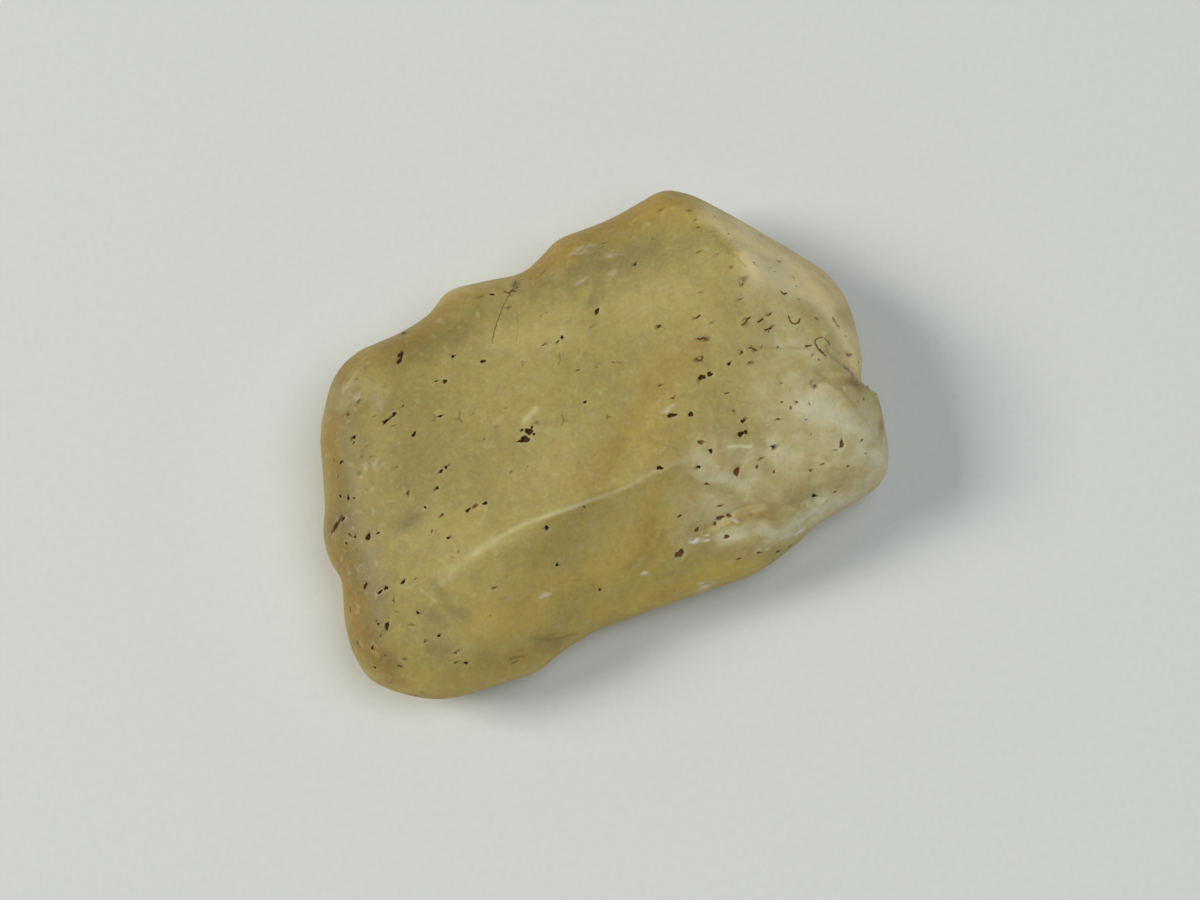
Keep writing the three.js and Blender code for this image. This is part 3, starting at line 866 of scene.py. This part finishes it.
# Libyan desert glass, frosted by blown sand: a soft sheen, light that sinks in and comes back honey
# yellow, a milky crust at one end, and pits with a rusty clay filling.
desertGlass = {
    "honey": "#e2d083",
    "olive": "#baaa5e",
    # partly the glass's tone, partly painted shade of the rims and the valley
    "amber": "#b28d37",
    "gold": "#ecd06a",
    # painted shade of the left side
    "deep": "#8f7c42",
    "smoke": "#8b815a",
    "crust": "#eae2bc",
    "window": "#d6be7c",
    # partly the facet's paler tone, partly painted light at the right end
    "bevel": "#ffe7aa",
    "tan": "#a8824e",
    "light": "#ead896",
    # partly worn frosting, partly painted highlight
    "pale": "#e9e6be",
    # painted highlight of the chips
    "chip": "#f6f4ea",
    "glow": "#efd579",  # painted glow: the undercuts made bright, for the light that has gone through and comes out there
    "clay": "#20130a",
    "rust": "#7a4c24",
    "moss": "#8c8420",
    "grainTint": 0.22,  # how strongly the fine grain of the frosting tints the body
    "throughColour": (0.87, 0.8, 0.2, 1.0),  # tint of the light that passes through, red to blue
    "throughDensity": 40.0,
    "ior": 1.46,
    "clearness": 0.3,  # share of the light that goes through where there is no crust
    "scatter": 0.85,
    "scatterDepth": 4.0,
    "scatterTint": (1.0, 0.75, 0.3),
    "roughness": (0.42, 0.66),
    "specular": (0.5, 0.06),  # of the skin, and of the clay in the pits
    "cloudEdge": (0.38, 0.6),  # the crust's clouds have fairly sharp edges
    "cloudCover": (0.5, 1.0),  # how thick the crust is between its clouds, and in them
    # Patterns of the skin: size in mm, detail, distortion.
    "patterns": {
        "patch": (7.0, 3, 0),
        "cloud": (2.4, 5, 0.8),
        "mottle": (0.8, 4, 0.3),
        "grain": (0.3, 2, 0),  # the real frosting is nearer 0.05 mm, too fine to show
        "peel": (1.1, 2, 0),
        "stain": (1.7, 4, 0.6),
        "fleck": (0.7, 3, 0.4),
    },
    # Faint stains, and pale flecks where the frosting is scratched: the pattern's range, how strong, tone.
    "stains": {"stain": (0.48, 0.66, 0.12, "smoke"), "fleck": (0.58, 0.7, 0.2, "pale")},
    "peelBump": (0.3, 0.12),  # strength, height
    "gritBump": (0.35, 0.05),
    # The zones, in the order in which they are laid on.
    "under": ("light", "gold", "deep", "smoke", "glow", "bevel", "crust", "window", "amber", "tan"),
    "over": ("pale", "chip"),
    "dull": ("bevel", "pale", "chip", "pitShade"),  # with the crust, these let no light in
}


def makeDesertGlass():
    look = desertGlass
    material, add = newMaterial("frosted silica glass")
    place = add("ShaderNodeTexCoord", {}, {}, "Object")
    zone = {}
    for name in (*look["under"], *look["over"], "pitShade", "pitBrown"):
        zone[name] = add("ShaderNodeAttribute", {"attribute_name": name}, {}, "Fac")
    pattern = {}
    for name, (size, detail, warp) in look["patterns"].items():
        pattern[name] = add("ShaderNodeTexNoise", {}, {
            "Vector": place, "Scale": 1 / (size * mm), "Detail": detail, "Distortion": warp,
        })
    (edgeLow, edgeHigh), (thin, thick) = look["cloudEdge"], look["cloudCover"]
    cloud = add("ShaderNodeMapRange", {"interpolation_type": "SMOOTHSTEP"}, {
        "Value": pattern["cloud"], "From Min": edgeLow, "From Max": edgeHigh, "To Min": thin, "To Max": thick,
    })
    crust = add("ShaderNodeMath", {"operation": "MULTIPLY"}, {0: zone["crust"], 1: cloud})
    body = add("ShaderNodeMix", rgba, {0: pattern["patch"], 6: look["olive"], 7: look["honey"]}, 2)
    for name in look["under"]:
        share = crust if name == "crust" else zone[name]
        body = add("ShaderNodeMix", rgba, {0: share, 6: body, 7: look[name]}, 2)
    for name, (least, most, strength, tone) in look["stains"].items():
        share = add("ShaderNodeMapRange", {"interpolation_type": "SMOOTHSTEP"}, {
            "Value": pattern[name], "From Min": least, "From Max": most, "To Max": strength,
        })
        body = add("ShaderNodeMix", rgba, {0: share, 6: body, 7: look[tone]}, 2)
    for name in ("mottle", "grain"):
        body = add("ShaderNodeMix", {"data_type": "RGBA", "blend_type": "OVERLAY"}, {
            0: look["grainTint"], 6: body, 7: pattern[name],
        }, 2)
    for name in look["over"]:
        body = add("ShaderNodeMix", rgba, {0: zone[name], 6: body, 7: look[name]}, 2)
    clay = add("ShaderNodeMix", rgba, {0: zone["pitBrown"], 6: look["clay"], 7: look["rust"]}, 2)
    mossy = add("ShaderNodeMapRange", {}, {"Value": zone["pitBrown"], "From Min": 1.0, "From Max": 2.0})
    clay = add("ShaderNodeMix", rgba, {0: mossy, 6: clay, 7: look["moss"]}, 2)
    body = add("ShaderNodeMix", rgba, {0: zone["pitShade"], 6: body, 7: clay}, 2)
    solid = crust
    for name in look["dull"]:
        solid = add("ShaderNodeMath", {"operation": "MAXIMUM"}, {0: solid, 1: zone[name]})
    clear = add("ShaderNodeMapRange", {}, {"Value": solid, "To Min": look["clearness"], "To Max": 0.0})
    sinking = add("ShaderNodeMapRange", {}, {"Value": solid, "To Min": look["scatter"], "To Max": 0.0})
    smooth, rough = look["roughness"]
    roughness = add("ShaderNodeMapRange", {}, {"Value": pattern["mottle"], "To Min": smooth, "To Max": rough})
    skinSheen, claySheen = look["specular"]
    sheen = add("ShaderNodeMapRange", {}, {
        "Value": zone["pitShade"], "To Min": skinSheen, "To Max": claySheen,
    })
    strength, height = look["peelBump"]
    peel = add("ShaderNodeBump", {}, {
        "Strength": strength, "Distance": height * mm, "Height": pattern["peel"],
    })
    strength, height = look["gritBump"]
    grit = add("ShaderNodeBump", {}, {
        "Strength": strength, "Distance": height * mm, "Height": pattern["grain"], "Normal": peel,
    })
    shader = add("ShaderNodeBsdfPrincipled", {}, {
        "Base Color": body,
        "IOR": look["ior"],
        "Roughness": roughness,
        "Specular IOR Level": sheen,
        "Transmission Weight": clear,
        "Subsurface Weight": sinking,
        "Subsurface Radius": look["scatterTint"],
        "Subsurface Scale": look["scatterDepth"] * mm,
        "Normal": grit,
    })
    through = add("ShaderNodeVolumeAbsorption", {}, {
        "Color": look["throughColour"], "Density": look["throughDensity"],
    })
    add("ShaderNodeOutputMaterial", {}, {"Surface": shader, "Volume": through})
    return material


stone.data.materials.append(makeDesertGlass())
print("stone's glass made")

# Matte drawing paper: an even, soft white with no sheen and a faint tooth.
paper = {
    "tone": "#e8ebe7",
    "shade": "#e1e4e0",
    "roughness": 0.9,
    "specular": 0.2,
    "toothSize": 0.5,
    "toothBump": (0.25, 0.04),  # strength, height
    "width": 1400.0,
    "below": 0.04,  # how far its face is under the stone, so that the two don't meet
}


def makePaper():
    material, add = newMaterial("matte paper")
    place = add("ShaderNodeTexCoord", {}, {}, "Object")
    tooth = add("ShaderNodeTexNoise", {}, {
        "Vector": place, "Scale": 1 / (paper["toothSize"] * mm), "Detail": 3,
    })
    tone = add("ShaderNodeMix", rgba, {0: tooth, 6: paper["shade"], 7: paper["tone"]}, 2)
    strength, height = paper["toothBump"]
    bump = add("ShaderNodeBump", {}, {"Strength": strength, "Distance": height * mm, "Height": tooth})
    shader = add("ShaderNodeBsdfPrincipled", {}, {
        "Base Color": tone,
        "Roughness": paper["roughness"],
        "Specular IOR Level": paper["specular"],
        "Normal": bump,
    })
    add("ShaderNodeOutputMaterial", {}, {"Surface": shader})
    half = paper["width"] * mm / 2
    mesh = bpy.data.meshes.new("paper")
    corners = [(-half, -half), (half, -half), (half, half), (-half, half)]
    mesh.from_pydata([(x, y, -paper["below"] * mm) for x, y in corners], [], [(0, 1, 2, 3)])
    mesh.materials.append(material)
    sheet = bpy.data.objects.new("paper", mesh)
    bpy.context.scene.collection.objects.link(sheet)


makePaper()

# Soft studio light: a soft box high on the picture's left, a weaker one nearly overhead that leans to
# the picture's lower right, and a pale room. Away and size are in metres.
studio = {
    "left box": {"from": (-0.86, 0.51, 0.79), "away": 1.6, "size": 0.6, "watts": 15.4, "tone": "#fffaf1"},
    "right box": {"from": (0.45, -0.45, 2.2), "away": 1.4, "size": 0.8, "watts": 6.4, "tone": "#f8fbff"},
    "room": "#e4edf2",
    "roomStrength": 0.19,
}


def makeLight():
    for name in ("left box", "right box"):
        lamp = studio[name]
        data = bpy.data.lights.new(name, "AREA")
        data.size = lamp["size"]
        data.energy = lamp["watts"]
        data.color = colour(lamp["tone"])[:3]
        box = bpy.data.objects.new(name, data)
        towards = Vector(lamp["from"]).normalized()
        box.location = towards * lamp["away"]
        box.rotation_mode = "QUATERNION"
        box.rotation_quaternion = towards.to_track_quat("Z", "Y")
        bpy.context.scene.collection.objects.link(box)
    world = bpy.data.worlds.new("room")
    world.use_nodes = True
    room = world.node_tree.nodes["Background"]
    room.inputs["Color"].default_value = colour(studio["room"])
    room.inputs["Strength"].default_value = studio["roomStrength"]
    bpy.context.scene.world = world
    bpy.context.scene.view_settings.view_transform = "Standard"


makeLight()
print("light and paper made")
